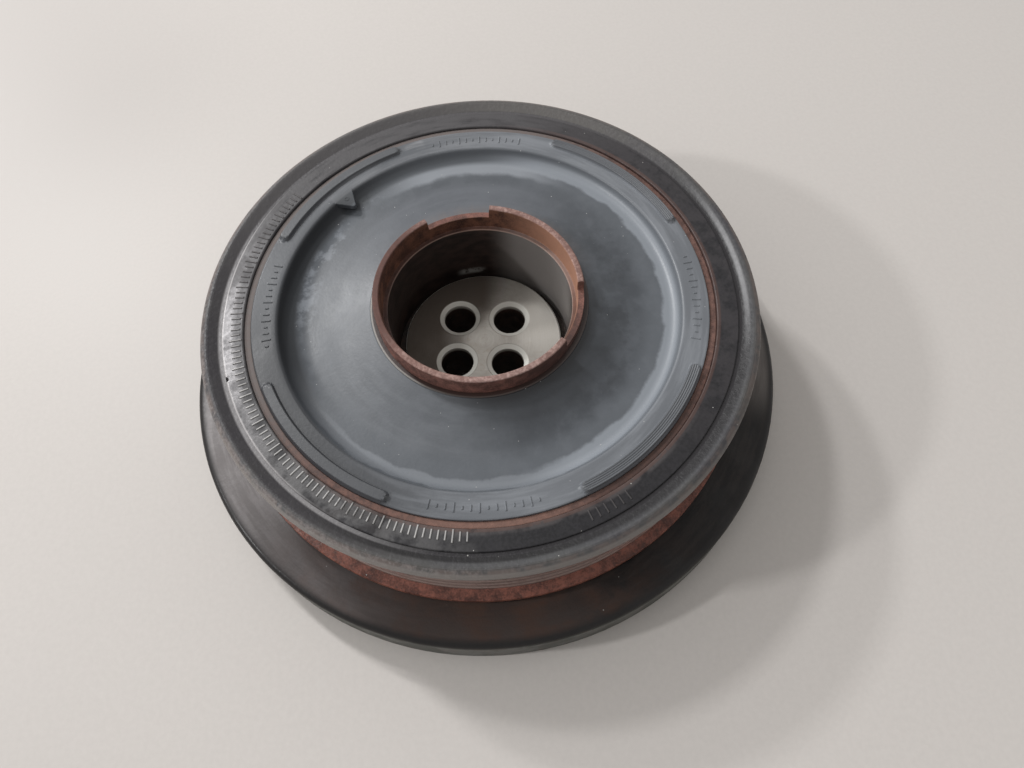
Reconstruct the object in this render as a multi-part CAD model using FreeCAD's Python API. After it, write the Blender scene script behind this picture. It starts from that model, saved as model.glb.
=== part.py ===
import FreeCAD, Part
import math
import os

# A crankshaft pulley with a rubber torsional damper and a decoupled belt rim.
# Lengths are in millimetres and angles in degrees. Z is the shaft axis, and +Z points away
# from the engine. The origin is the centre of the back plane, on which the hub's foot and the
# inertia ring both end.

# Fits: pressed and bonded pieces meet face to face, and running pieces keep these gaps.
BUSH_CLEARANCE = 0.10
THRUST_RING_CLEARANCE = 0.15
SEAL_LIP_GAP = 0.30

# Crankshaft joint
BOLT_COUNT = 4
BOLT_CIRCLE_DIAMETER = 23.5
BOLT_HOLE_DIAMETER = 10.7
BOLT_COUNTERSINK_WIDTH = 1.65
BOLT_COUNTERSINK_DEPTH = 0.9
FIRST_BOLT_ANGLE = 37.3
PILOT_DIAMETER = 42.0
PILOT_DEPTH = 4.0

# Hub
BOSS_DIAMETER = 51.6
BOSS_GROOVE_WIDTH = 2.6
BOSS_HEIGHT = 22.3
REGISTER_HEIGHT = 17.5
HUB_FOOT_WIDTH = 9.0
HUB_WEB_BACK_Z = 4.0
HUB_WEB_THICKNESS = 6.0
HUB_WEB_RISE = 4.0
SLEEVE_SEAT_LEDGE = 1.0
BARREL_WALL = 3.6
BARREL_BACK_Z = 1.0

# Inertia ring and its rubber
INERTIA_WIDTH = 29.5
INERTIA_HEIGHT = 14.0
INERTIA_EDGE_RADIUS = 2.0
INERTIA_BACK_CHAMFER = 1.0
DAMPER_RUBBER_THICKNESS = 4.5
DAMPER_RUBBER_RECESS = 1.5
DAMPER_RUBBER_DIP = 0.8
BALANCE_HOLE_DIAMETER = 8.0
BALANCE_HOLE_DEPTH = 6.0
BALANCE_HOLE_ANGLES = (20.0, 31.0, 42.0)

# Plain bearing of the belt pulley
CARRIER_WALL = 2.5
CARRIER_FLANGE_WIDTH = 5.0
CARRIER_FLANGE_THICKNESS = 1.0
CARRIER_GAP = 1.0
THRUST_RING_THICKNESS = 1.0
BUSH_WALL = 2.4
BUSH_END_RECESS = 0.2
BEARING_LENGTH = 12.0
BEARING_BOSS_WALL = 3.5
BEARING_BOSS_STEP = 2.0
STOP_RING_HEIGHT = 3.0

# Belt rim
RIB_DIAMETER = 163.2
RIB_COUNT = 6
RIB_PITCH = 3.56
RIB_TIP_WIDTH = 0.56
GROOVE_DEPTH = 2.6
GROOVE_ANGLE = 40.0
EDGE_LAND = 1.0
LIP_ABOVE_RIBS = 3.4
LIP_HEIGHT = 4.84
LIP_EDGE_HEIGHT = 3.14
LIP_WIDTH = 5.7
LIP_RADIUS = 2.4
LIP_SLOPE_WIDTH = 3.2
BACK_FLANGE_ABOVE_RIBS = 3.2
BACK_FLANGE_EDGE = 1.9
BACK_FLANGE_THICKNESS = 3.0
RIM_TO_INERTIA_GAP = 1.8
RIM_WALL = 5.0
PULLEY_WEB_THICKNESS = 4.0
PULLEY_WEB_BACK = 4.2
SEAL_POCKET_WIDTH = 3.0
SEAL_WIDTH = 2.0
SEAL_LIP_WIDTH = 1.0
SEAL_LIP_DRAFT = 0.4
SEAL_TOP_GAP = 0.5

# Front ring, pressed in the belt pulley, and the ring that it holds
FRONT_CHANNEL_WIDTH = 1.0
FRONT_CHANNEL_DEPTH = 0.5
FRONT_RING_THICKNESS = 2.0
FRONT_RING_SKIRT_WALL = 2.2
FRONT_RING_DEPTH_BELOW_LIP = 0.8
FRONT_RING_SKIRT_OVERRUN = 1.3
NICK_RADIUS = 0.9
NICK_ANGLE = 193.9
OUTER_RING_WALL = 2.1
OUTER_RING_SINK = 0.8
OUTER_RING_TO_BARREL_GAP = 1.5

# Notched inner sleeve
SLEEVE_WALL = 3.4
SLEEVE_ABOVE_LIP = 5.4
CAP_SEAT_STEP = 1.4
CAP_SEAT_DEPTH = 8.3
MOUTH_CHAMFER = 0.5
NOTCH_APART = 120.0
NOTCH_DEPTH = 3.8
NOTCH_SPAN = 38.5
FIRST_NOTCH_ANGLE = 97.9

# Decoupler rubber
COLLAR_WIDTH = 1.6
COLLAR_BELOW_LIP = 1.0
COLLAR_LEDGE = 0.6
DOME_FALL = 2.0
DOME_RADIUS = 60.0
VALLEY_STEP = 1.6
VALLEY_DEPTH = 3.3
LAND_WIDTH = 8.0
VALLEY_RADIUS = 3.0
LAND_EDGE_RADIUS = 1.2
MEMBRANE_THICKNESS = 10.7
MEMBRANE_TO_BARREL_GAP = 1.0
SLEEVE_BOND_LENGTH = 16.6
PAD_COUNT = 4
PAD_SPAN = 45.0
PAD_WIDTH = 3.7
PAD_HEIGHT = 1.1
PAD_BEVEL = 0.5
PAD_EDGE_INSET = 0.2
FIRST_PAD_ANGLE = 41.2
TAB_ANGLE = 131.8
TAB_BASE_SPAN = 7.3
TAB_LENGTH = 4.8
TAB_THICKNESS = 1.6
TAB_TIP_RADIUS = 1.0
TAB_ROOT_DEPTH = 3.6

# Radii that follow from the sizes above
boss_r = BOSS_DIAMETER / 2
well_r = boss_r + BOSS_GROOVE_WIDTH
sleeve_r = well_r + SLEEVE_WALL
rib_r = RIB_DIAMETER / 2
lip_r = rib_r + LIP_ABOVE_RIBS
lip_inner_r = lip_r - LIP_WIDTH
front_ring_r = lip_inner_r - FRONT_CHANNEL_WIDTH
groove_r = rib_r - GROOVE_DEPTH
front_bore_r = groove_r - RIM_WALL
outer_ring_r = front_bore_r - FRONT_RING_SKIRT_WALL
land_r = outer_ring_r - OUTER_RING_WALL
bearing_boss_r = front_bore_r - BEARING_BOSS_STEP
bearing_bore_r = bearing_boss_r - BEARING_BOSS_WALL
carrier_r = bearing_bore_r - BUSH_WALL - BUSH_CLEARANCE
carrier_flange_r = carrier_r + CARRIER_FLANGE_WIDTH
barrel_r = carrier_r - CARRIER_WALL
inertia_bore_r = barrel_r + DAMPER_RUBBER_THICKNESS

# Heights that follow from the sizes above
web_front_z = HUB_WEB_BACK_Z + HUB_WEB_THICKNESS
rim_back_z = INERTIA_HEIGHT + RIM_TO_INERTIA_GAP
first_land_z = rim_back_z + BACK_FLANGE_THICKNESS
belt_top_z = first_land_z + 2 * EDGE_LAND + RIB_COUNT * RIB_PITCH
lip_top_z = belt_top_z + LIP_HEIGHT
carrier_back_z = INERTIA_HEIGHT + CARRIER_GAP
thrust_z = carrier_back_z + CARRIER_FLANGE_THICKNESS
bearing_back_z = thrust_z + THRUST_RING_THICKNESS
bearing_front_z = bearing_back_z + BEARING_LENGTH
stop_ring_z = bearing_front_z + THRUST_RING_THICKNESS
barrel_top_z = stop_ring_z + STOP_RING_HEIGHT
front_ring_top_z = lip_top_z - FRONT_RING_DEPTH_BELOW_LIP
front_ring_seat_z = front_ring_top_z - FRONT_RING_THICKNESS
land_z = front_ring_top_z
outer_ring_top_z = land_z - OUTER_RING_SINK
outer_ring_back_z = barrel_top_z + OUTER_RING_TO_BARREL_GAP
sleeve_top_z = lip_top_z + SLEEVE_ABOVE_LIP
cap_seat_z = sleeve_top_z - CAP_SEAT_DEPTH
collar_z = lip_top_z - COLLAR_BELOW_LIP

AXIS = FreeCAD.Vector(0, 0, 1)
CENTRE = FreeCAD.Vector(0, 0, 0)


def rounded_face(corners, place):
    """A flat face from corners (a, b) or (a, b, radius), with each radius as a tangent arc."""
    points = [place(corner[0], corner[1]) for corner in corners]
    ends = []
    for index, corner in enumerate(corners):
        point = points[index]
        radius = corner[2] if len(corner) > 2 else 0
        if not radius:
            ends.append((point, None, point))
            continue
        back = (points[index - 1] - point).normalize()
        ahead = (points[(index + 1) % len(points)] - point).normalize()
        half_angle = back.getAngle(ahead) / 2
        run = radius / math.tan(half_angle)
        inward = (back + ahead).normalize()
        middle = point + inward * (radius / math.sin(half_angle) - radius)
        ends.append((point + back * run, middle, point + ahead * run))
    edges = []
    for index, (start, middle, end) in enumerate(ends):
        if middle:
            edges.append(Part.Arc(start, middle, end).toShape())
        following = ends[(index + 1) % len(ends)][0]
        if end.distanceToPoint(following) > 1e-6:
            edges.append(Part.LineSegment(end, following).toShape())
    return Part.Face(Part.Wire(edges))


def turned(corners):
    """A solid of revolution about the shaft axis, from (r, z) or (r, z, radius) corners."""
    face = rounded_face(corners, lambda r, z: FreeCAD.Vector(r, 0, z))
    return face.revolve(CENTRE, AXIS, 360)


def at_angle(radius, angle, z=0.0):
    """The point at a radius and an angle round the shaft axis."""
    turn = math.radians(angle)
    return FreeCAD.Vector(radius * math.cos(turn), radius * math.sin(turn), z)


def ring(inner_r, outer_r, back_z, front_z):
    """A plain ring of rectangular section."""
    return turned([(inner_r, back_z), (outer_r, back_z), (outer_r, front_z), (inner_r, front_z)])


def spaced_angles(first, count):
    """Evenly spaced angles round the axis."""
    return [first + 360.0 * step / count for step in range(count)]


def arc_slot(middle_r, width, span, angle):
    """A flat face along an arc round the axis, with round ends, at z = 0."""
    half = width / 2
    end_turn = math.degrees(half / middle_r)
    low = angle - span / 2 + end_turn
    high = angle + span / 2 - end_turn
    outer_r = middle_r + half
    inner_r = middle_r - half
    outer = Part.Arc(at_angle(outer_r, low), at_angle(outer_r, angle), at_angle(outer_r, high))
    inner = Part.Arc(at_angle(inner_r, high), at_angle(inner_r, angle), at_angle(inner_r, low))
    last = Part.Arc(at_angle(outer_r, high), at_angle(middle_r, high + end_turn),
                    at_angle(inner_r, high))
    first = Part.Arc(at_angle(inner_r, low), at_angle(middle_r, low - end_turn),
                     at_angle(outer_r, low))
    return Part.Face(Part.Wire([edge.toShape() for edge in (outer, last, inner, first)]))


def hub():
    """One forging: bolted boss, register for the sleeve, dished web and outer barrel."""
    pilot_r = PILOT_DIAMETER / 2
    foot_r = pilot_r + HUB_FOOT_WIDTH
    barrel_inner_r = barrel_r - BARREL_WALL
    body = turned([
        (0, PILOT_DEPTH), (pilot_r, PILOT_DEPTH), (pilot_r, 0), (foot_r, 0),
        (foot_r, HUB_WEB_BACK_Z), (barrel_inner_r, HUB_WEB_BACK_Z + HUB_WEB_RISE),
        (barrel_inner_r, BARREL_BACK_Z), (barrel_r, BARREL_BACK_Z), (barrel_r, barrel_top_z),
        (barrel_inner_r, barrel_top_z), (barrel_inner_r, web_front_z + HUB_WEB_RISE),
        (sleeve_r + SLEEVE_SEAT_LEDGE, web_front_z), (well_r, web_front_z),
        (well_r, REGISTER_HEIGHT), (boss_r, REGISTER_HEIGHT), (boss_r, BOSS_HEIGHT),
        (0, BOSS_HEIGHT)])
    hole_r = BOLT_HOLE_DIAMETER / 2
    drill_length = BOSS_HEIGHT - PILOT_DEPTH
    sink_top_z = BOSS_HEIGHT - BOLT_COUNTERSINK_DEPTH
    for angle in spaced_angles(FIRST_BOLT_ANGLE, BOLT_COUNT):
        centre = at_angle(BOLT_CIRCLE_DIAMETER / 2, angle, PILOT_DEPTH)
        hole = Part.makeCylinder(hole_r, drill_length, centre)
        centre.z = sink_top_z
        countersink = Part.makeCone(hole_r, hole_r + BOLT_COUNTERSINK_WIDTH,
                                    BOLT_COUNTERSINK_DEPTH, centre)
        body = body.cut(hole).cut(countersink)
    return body


def inner_sleeve():
    """The tube round the well, with a cap seat in its mouth and two notches in its rim."""
    cap_seat_r = well_r + CAP_SEAT_STEP
    body = turned([
        (well_r, web_front_z), (sleeve_r, web_front_z), (sleeve_r, sleeve_top_z),
        (cap_seat_r + MOUTH_CHAMFER, sleeve_top_z), (cap_seat_r, sleeve_top_z - MOUTH_CHAMFER),
        (cap_seat_r, cap_seat_z), (well_r, cap_seat_z)])
    notch_z = sleeve_top_z - NOTCH_DEPTH
    for angle in (FIRST_NOTCH_ANGLE, FIRST_NOTCH_ANGLE - NOTCH_APART):
        sector = Part.makeCylinder(sleeve_r + SLEEVE_WALL, 2 * NOTCH_DEPTH,
                                   FreeCAD.Vector(0, 0, notch_z), AXIS, NOTCH_SPAN)
        sector.rotate(CENTRE, AXIS, angle - NOTCH_SPAN / 2)
        body = body.cut(sector)
    return body


def arc_pad(angle):
    """One raised pad on the rubber land, with its top edge bevelled."""
    middle_r = land_r - PAD_EDGE_INSET - PAD_WIDTH / 2
    face = arc_slot(middle_r, PAD_WIDTH, PAD_SPAN, angle)
    root_z = land_z - PAD_HEIGHT
    face.translate(FreeCAD.Vector(0, 0, root_z))
    pad = face.extrude(AXIS * (2 * PAD_HEIGHT))
    top_z = land_z + PAD_HEIGHT
    top_edges = [edge for edge in pad.Edges if abs(edge.BoundBox.ZMin - top_z) < 1e-4]
    return pad.makeChamfer(PAD_BEVEL, top_edges)


def pointed_tab():
    """The small tab that points from the land over the valley."""
    land_inner_r = land_r - LAND_WIDTH
    root_r = land_inner_r + TAB_ROOT_DEPTH
    half_base = math.radians(TAB_BASE_SPAN / 2) * land_inner_r
    tip_r = land_inner_r - TAB_LENGTH
    overrun = TAB_TIP_RADIUS * (math.hypot(land_inner_r - tip_r, half_base) / half_base - 1)
    corners = [(root_r, -half_base), (root_r, half_base), (land_inner_r, half_base),
               (tip_r - overrun, 0, TAB_TIP_RADIUS), (land_inner_r, -half_base)]
    face = rounded_face(corners, lambda a, b: FreeCAD.Vector(a, b, land_z - TAB_THICKNESS))
    tab = face.extrude(AXIS * TAB_THICKNESS)
    tab.rotate(CENTRE, AXIS, TAB_ANGLE)
    return tab


def decoupler_membrane():
    """The moulded rubber spring: collar, shallow dome, valley, flat land, pads and tab."""
    collar_r = sleeve_r + COLLAR_WIDTH
    ledge_z = collar_z - COLLAR_LEDGE
    land_inner_r = land_r - LAND_WIDTH
    valley_r = land_inner_r - VALLEY_STEP
    valley_z = land_z - VALLEY_DEPTH
    dome_r = (collar_r + valley_r) / 2
    dome_z = ledge_z - DOME_FALL
    body = turned([
        (sleeve_r, collar_z - SLEEVE_BOND_LENGTH), (sleeve_r, collar_z),
        (collar_r, collar_z), (collar_r, ledge_z), (dome_r, dome_z, DOME_RADIUS),
        (valley_r, valley_z, VALLEY_RADIUS), (land_inner_r, land_z, LAND_EDGE_RADIUS),
        (land_r, land_z), (land_r, outer_ring_back_z),
        (valley_r, barrel_top_z + MEMBRANE_TO_BARREL_GAP),
        (dome_r, dome_z - MEMBRANE_THICKNESS)])
    for angle in spaced_angles(FIRST_PAD_ANGLE, PAD_COUNT):
        body = body.fuse(arc_pad(angle))
    return body.fuse(pointed_tab()).removeSplitter()


def decoupler_outer_ring():
    """The thin steel ring round the rubber, sunk a little below the land and the front ring."""
    return ring(land_r, outer_ring_r, outer_ring_back_z, outer_ring_top_z)


def front_ring():
    """The stamped ring: a flat flange and a skirt pressed in the belt pulley's bore."""
    skirt_z = outer_ring_back_z - FRONT_RING_SKIRT_OVERRUN
    body = turned([
        (outer_ring_r, skirt_z), (front_bore_r, skirt_z), (front_bore_r, front_ring_seat_z),
        (front_ring_r, front_ring_seat_z), (front_ring_r, front_ring_top_z),
        (outer_ring_r, front_ring_top_z)])
    nick = Part.makeCylinder(NICK_RADIUS, FRONT_RING_THICKNESS,
                             at_angle(front_ring_r, NICK_ANGLE, front_ring_seat_z))
    return body.cut(nick)


def belt_grooves():
    """The (r, z) corners of the ribbed belt seat, from the back flange to the front lip."""
    mouth_width = RIB_PITCH - RIB_TIP_WIDTH
    root_width = mouth_width - 2 * GROOVE_DEPTH * math.tan(math.radians(GROOVE_ANGLE / 2))
    corners = [(rib_r, first_land_z)]
    for rib in range(RIB_COUNT):
        middle_z = first_land_z + EDGE_LAND + RIB_PITCH * (rib + 0.5)
        corners.append((rib_r, middle_z - mouth_width / 2))
        corners.append((groove_r, middle_z - root_width / 2))
        corners.append((groove_r, middle_z + root_width / 2))
        corners.append((rib_r, middle_z + mouth_width / 2))
    corners.append((rib_r, belt_top_z))
    return corners


def belt_pulley():
    """The belt rim: ribbed seat, dished front lip, back flange, web and bearing boss."""
    seal_bore_r = bearing_boss_r + SEAL_POCKET_WIDTH
    web_back_z = rim_back_z + PULLEY_WEB_BACK
    web_top_z = web_back_z + PULLEY_WEB_THICKNESS
    flange_r = rib_r + BACK_FLANGE_ABOVE_RIBS
    channel_z = front_ring_top_z - FRONT_CHANNEL_DEPTH
    back_flange = [(seal_bore_r, rim_back_z), (flange_r, rim_back_z),
                   (flange_r, rim_back_z + BACK_FLANGE_EDGE)]
    front_lip = [(lip_r, lip_top_z - LIP_EDGE_HEIGHT), (lip_r, lip_top_z, LIP_RADIUS),
                 (lip_inner_r + LIP_SLOPE_WIDTH, lip_top_z), (lip_inner_r, channel_z),
                 (front_ring_r, channel_z), (front_ring_r, front_ring_seat_z)]
    inside = [(front_bore_r, front_ring_seat_z), (front_bore_r, web_top_z),
              (bearing_boss_r, web_top_z), (bearing_boss_r, bearing_front_z),
              (bearing_bore_r, bearing_front_z), (bearing_bore_r, bearing_back_z),
              (bearing_boss_r, bearing_back_z), (bearing_boss_r, web_back_z),
              (seal_bore_r, web_back_z)]
    return turned(back_flange + belt_grooves() + front_lip + inside)


def bearing_carrier():
    """The flanged steel ring on the hub's barrel that the belt pulley turns on."""
    return turned([
        (barrel_r, carrier_back_z), (carrier_flange_r, carrier_back_z),
        (carrier_flange_r, thrust_z), (carrier_r, thrust_z), (carrier_r, barrel_top_z),
        (barrel_r, barrel_top_z)])


def bearing_bush():
    """The dry bush pressed in the belt pulley's bearing boss."""
    return ring(carrier_r + BUSH_CLEARANCE, bearing_bore_r,
                bearing_back_z + BUSH_END_RECESS, bearing_front_z - BUSH_END_RECESS)


def thrust_ring(back_z):
    """A slide ring against one end of the bearing boss."""
    return ring(carrier_r + THRUST_RING_CLEARANCE, carrier_flange_r,
                back_z, back_z + THRUST_RING_THICKNESS)


def stop_ring():
    """The steel ring, pressed on the carrier's front end, that keeps the belt pulley on."""
    return ring(carrier_r, carrier_flange_r, stop_ring_z, barrel_top_z)


def dust_seal():
    """The rubber lip ring in the pocket behind the belt pulley's web."""
    seal_r = bearing_boss_r + SEAL_POCKET_WIDTH
    inner_r = seal_r - SEAL_WIDTH
    seal_lip_r = seal_r - SEAL_LIP_DRAFT
    lip_z = INERTIA_HEIGHT + SEAL_LIP_GAP
    top_z = rim_back_z + PULLEY_WEB_BACK - SEAL_TOP_GAP
    return turned([
        (inner_r, top_z), (seal_r, top_z), (seal_r, rim_back_z), (seal_lip_r, lip_z),
        (seal_lip_r - SEAL_LIP_WIDTH, lip_z), (inner_r, rim_back_z)])


def damper_rubber():
    """The rubber band between the hub's barrel and the inertia ring, hollow at both ends."""
    middle_r = (barrel_r + inertia_bore_r) / 2
    back_z = DAMPER_RUBBER_RECESS
    front_z = INERTIA_HEIGHT - DAMPER_RUBBER_RECESS
    return turned([
        (barrel_r, back_z), (middle_r, back_z + DAMPER_RUBBER_DIP), (inertia_bore_r, back_z),
        (inertia_bore_r, front_z), (middle_r, front_z - DAMPER_RUBBER_DIP), (barrel_r, front_z)])


def inertia_ring():
    """The cast ring at the back, with its front edge rounded and balance drillings behind."""
    outer_r = inertia_bore_r + INERTIA_WIDTH
    body = turned([
        (inertia_bore_r, 0), (outer_r - INERTIA_BACK_CHAMFER, 0),
        (outer_r, INERTIA_BACK_CHAMFER), (outer_r, INERTIA_HEIGHT, INERTIA_EDGE_RADIUS),
        (inertia_bore_r, INERTIA_HEIGHT)])
    drill_r = (inertia_bore_r + outer_r) / 2
    for angle in BALANCE_HOLE_ANGLES:
        body = body.cut(Part.makeCylinder(BALANCE_HOLE_DIAMETER / 2, BALANCE_HOLE_DEPTH,
                                          at_angle(drill_r, angle)))
    return body


def all_parts():
    """Every piece of the pulley, under its node name."""
    return {
        "hub": hub(),
        "inner_sleeve": inner_sleeve(),
        "decoupler_membrane": decoupler_membrane(),
        "decoupler_outer_ring": decoupler_outer_ring(),
        "front_ring": front_ring(),
        "belt_pulley": belt_pulley(),
        "bearing_carrier": bearing_carrier(),
        "bearing_bush": bearing_bush(),
        "rear_thrust_ring": thrust_ring(thrust_z),
        "front_thrust_ring": thrust_ring(bearing_front_z),
        "stop_ring": stop_ring(),
        "dust_seal": dust_seal(),
        "damper_rubber": damper_rubber(),
        "inertia_ring": inertia_ring(),
    }


def write_parts():
    """Write one STEP file per piece and print what was made."""
    os.makedirs("parts", exist_ok=True)
    for name, shape in all_parts().items():
        shape.exportStep("parts/" + name + ".step")
        box = shape.BoundBox
        print(name, "solids", len(shape.Solids), "valid", shape.isValid(),
              "volume", round(shape.Volume), "z", round(box.ZMin, 2), round(box.ZMax, 2))


write_parts()
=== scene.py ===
# %% [markdown]
# # A crankshaft pulley with a sprung belt rim
# The pulley is a stack of turned and moulded rings round one shaft axis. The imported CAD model
# already holds every ring at its place and size, so this script starts from it as a fixed frame.
# It builds finer meshes for the rings that show, and gives every surface a material of nodes.

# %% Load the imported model
import math

import bmesh
import bpy
from mathutils import Matrix, Vector


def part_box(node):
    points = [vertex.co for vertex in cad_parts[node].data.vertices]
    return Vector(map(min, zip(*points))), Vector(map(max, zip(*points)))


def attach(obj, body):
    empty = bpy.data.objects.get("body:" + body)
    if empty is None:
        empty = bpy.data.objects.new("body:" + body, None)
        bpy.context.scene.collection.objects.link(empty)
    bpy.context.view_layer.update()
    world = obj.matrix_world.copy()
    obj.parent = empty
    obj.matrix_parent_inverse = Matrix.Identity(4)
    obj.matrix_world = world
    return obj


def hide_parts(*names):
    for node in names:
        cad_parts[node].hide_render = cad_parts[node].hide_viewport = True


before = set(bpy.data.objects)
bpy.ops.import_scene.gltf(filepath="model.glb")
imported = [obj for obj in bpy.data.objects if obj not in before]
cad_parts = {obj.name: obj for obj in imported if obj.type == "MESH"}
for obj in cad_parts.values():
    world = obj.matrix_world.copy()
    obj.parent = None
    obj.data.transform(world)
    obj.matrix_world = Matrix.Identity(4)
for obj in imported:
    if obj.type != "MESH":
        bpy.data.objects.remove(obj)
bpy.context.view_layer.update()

# %% [markdown]
# ## Sizes
# All sizes are in millimetres, as such a part is drawn, and meshes and shaders turn them into
# metres at one place each. The outer radius and the heights of each ring come from the packed
# nodes. Only what a box can't tell, such as a groove's depth, is a value of its own.

# %% Read the rings' sizes
MM = 0.001


def extent(node):
    """Outer radius, back height and front height of a turned node, in millimetres."""
    low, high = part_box(node)
    return high[0] / MM, low[2] / MM, high[2] / MM


lip_r, rim_back_z, lip_top_z = extent("belt_pulley")
land_r, membrane_back_z, pad_top_z = extent("decoupler_membrane")
outer_ring_r, outer_ring_back_z, outer_ring_top_z = extent("decoupler_outer_ring")
flange_r, skirt_back_z, flange_top_z = extent("front_ring")
sleeve_r, sleeve_back_z, sleeve_top_z = extent("inner_sleeve")
barrel_r, hub_back_z, barrel_top_z = extent("hub")
inertia_r, _, inertia_top_z = extent("inertia_ring")
print("belt rim radius", round(lip_r, 2), "inertia ring radius", round(inertia_r, 2))

# %% [markdown]
# ## Camera
# The photograph looks down on the pulley from about 56 degrees above the table, from close by,
# so the near side is clearly larger than the far side. The camera's place is its distance and
# height angle from the middle of the lip's plane. Where that middle falls in the picture sets
# the camera's turn, which needs no lens shift.

# %% Place the camera
photo_width = 1024
photo_height = 768
sensor_width = 36.0
focal_length_pixels = 774.0
camera_height_angle = math.radians(56.17)
camera_roll = math.radians(5.97)
camera_distance = 237.5
lip_middle_pixel = (479.2, 298.0)


def new_object(name, data):
    """A new object in the scene."""
    thing = bpy.data.objects.new(name, data)
    bpy.context.scene.collection.objects.link(thing)
    return thing


right = Vector((1, 0, 0))
away = Vector((0, -math.cos(camera_height_angle), math.sin(camera_height_angle)))
level = Matrix((right, right.cross(away), -away)).transposed()
sight = Vector((lip_middle_pixel[0] - photo_width / 2, lip_middle_pixel[1] - photo_height / 2,
                focal_length_pixels))
aim = sight.normalized().rotation_difference(Vector((0, 0, 1))).to_matrix()
rotation = level @ Matrix.Rotation(camera_roll, 3, "Z") @ aim @ Matrix.Diagonal((1, -1, -1))
camera = new_object("photo_camera", bpy.data.cameras.new("photo_camera"))
camera.data.sensor_fit = "HORIZONTAL"
camera.data.sensor_width = sensor_width
camera.data.lens = sensor_width * focal_length_pixels / photo_width
camera.data.clip_start = 0.01
camera_place = (away * camera_distance + Vector((0, 0, lip_top_z))) * MM
camera.matrix_world = Matrix.Translation(camera_place) @ rotation.to_4x4()
bpy.context.scene.camera = camera
print("camera at", tuple(round(v, 4) for v in camera.location), "lens", round(camera.data.lens, 2))

# %% [markdown]
# ## Meshes from outlines
# Almost every piece is a body of revolution, so one helper spins a closed outline round the
# axis. A corner of the outline may carry a radius, because small rounded edges are what catches
# the light on the real piece. Blender's Screw modifier could spin an outline too. This helper
# also takes a list of angles and a function that may move each point, which is how a notch or a
# raised pad is made in the same mesh.

# %% Helpers for spun meshes
ARC_STEP = math.radians(15)


def rounded(corners):
    """Points of a closed outline from (r, z) or (r, z, radius) corners."""
    points = []
    for index, corner in enumerate(corners):
        here = Vector(corner[:2])
        if len(corner) < 3:
            points.append(here)
            continue
        back = (Vector(corners[index - 1][:2]) - here).normalized()
        ahead = (Vector(corners[(index + 1) % len(corners)][:2]) - here).normalized()
        half = back.angle(ahead) / 2
        reach = corner[2] / math.tan(half)
        centre = here + (back + ahead).normalized() * corner[2] / math.sin(half)
        start = here + back * reach - centre
        end = here + ahead * reach - centre
        first = math.atan2(start.y, start.x)
        sweep = (math.atan2(end.y, end.x) - first + math.pi) % math.tau - math.pi
        steps = max(2, math.ceil(abs(sweep) / ARC_STEP))
        for step in range(steps + 1):
            turn = first + sweep * step / steps
            points.append(centre + corner[2] * Vector((math.cos(turn), math.sin(turn))))
    return points


def even_angles(count):
    """Evenly spaced angles of a full turn, in degrees."""
    return [360.0 * step / count for step in range(count)]


def walls(low, high, count):
    """Faces between two loops of vertices, each given by its first index."""
    return [(low + k, high + k, high + (k + 1) % count, low + (k + 1) % count)
            for k in range(count)]


def spun_mesh(corners, angles, shape=None):
    """Vertices and faces of an outline spun round the axis."""
    points = rounded(corners)
    vertices, faces = [], []
    for ring, angle in enumerate(angles):
        turn = math.radians(angle)
        for point in points:
            r, z = shape(point[0], point[1], angle) if shape else point
            vertices.append((r * math.cos(turn), r * math.sin(turn), z))
        following = (ring + 1) % len(angles)
        faces += walls(ring * len(points), following * len(points), len(points))
    return vertices, faces


def make_piece(name, node, vertices, faces, sharp_angle=35, weighted=True):
    """A smooth piece from millimetre vertices. Weighted normals keep its flat faces flat."""
    mesh = bpy.data.meshes.new(name)
    mesh.from_pydata([Vector(vertex) * MM for vertex in vertices], [], faces)
    shape = bmesh.new()
    shape.from_mesh(mesh)
    bmesh.ops.recalc_face_normals(shape, faces=shape.faces)
    shape.to_mesh(mesh)
    shape.free()
    mesh.shade_smooth()
    mesh.set_sharp_from_angle(angle=math.radians(sharp_angle))
    piece = new_object(name, mesh)
    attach(piece, "root")
    if weighted:
        piece.modifiers.new("weighted_normals", "WEIGHTED_NORMAL").keep_sharp = True
    print(name, "has", len(mesh.polygons), "faces")
    return piece


# %% [markdown]
# ## Belt rim
# The rim is one steel piece: a seat with ribs for the belt, a dished lip in front of it, a flange
# at the back, and a web with the bearing's boss. The tool that cuts the grooves has a rounded
# nose, so every rib and groove has a small radius. Grooves could be cut into a plain rim later,
# but they run right round, so they are simply part of the outline. The lip is rounded on its
# outer edge and slopes down inside to a channel, which makes it light on one side and dark on
# the other.

# %% Belt rim
ring_steps = 256
rib_count = 6
rib_pitch = 3.56
rib_tip_width = 0.56
groove_depth = 2.6
groove_half_angle = math.radians(20)
groove_radius = 0.2
lip_width = 5.7
lip_slope_width = 3.2
rib_r = lip_r - 3.4
groove_r = rib_r - groove_depth
lip_inner_r = lip_r - lip_width
channel_inner_r = lip_inner_r - 1.0
front_bore_r = groove_r - 5.0
bearing_boss_r = front_bore_r - 2.0
bearing_bore_r = bearing_boss_r - 3.5
seal_bore_r = bearing_boss_r + 3.0
back_flange_r = rib_r + 3.2
back_flange_edge_z = rim_back_z + 1.9
belt_top_z = lip_top_z - 4.84
lip_edge_z = lip_top_z - 3.14
flange_seat_z = flange_top_z - 2.0
channel_z = flange_top_z - 0.5
first_land_z = rim_back_z + 3.0
web_back_z = rim_back_z + 4.2
web_top_z = web_back_z + 4.0
boss_back_z = rim_back_z + 1.2
boss_front_z = boss_back_z + 12.0

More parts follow.
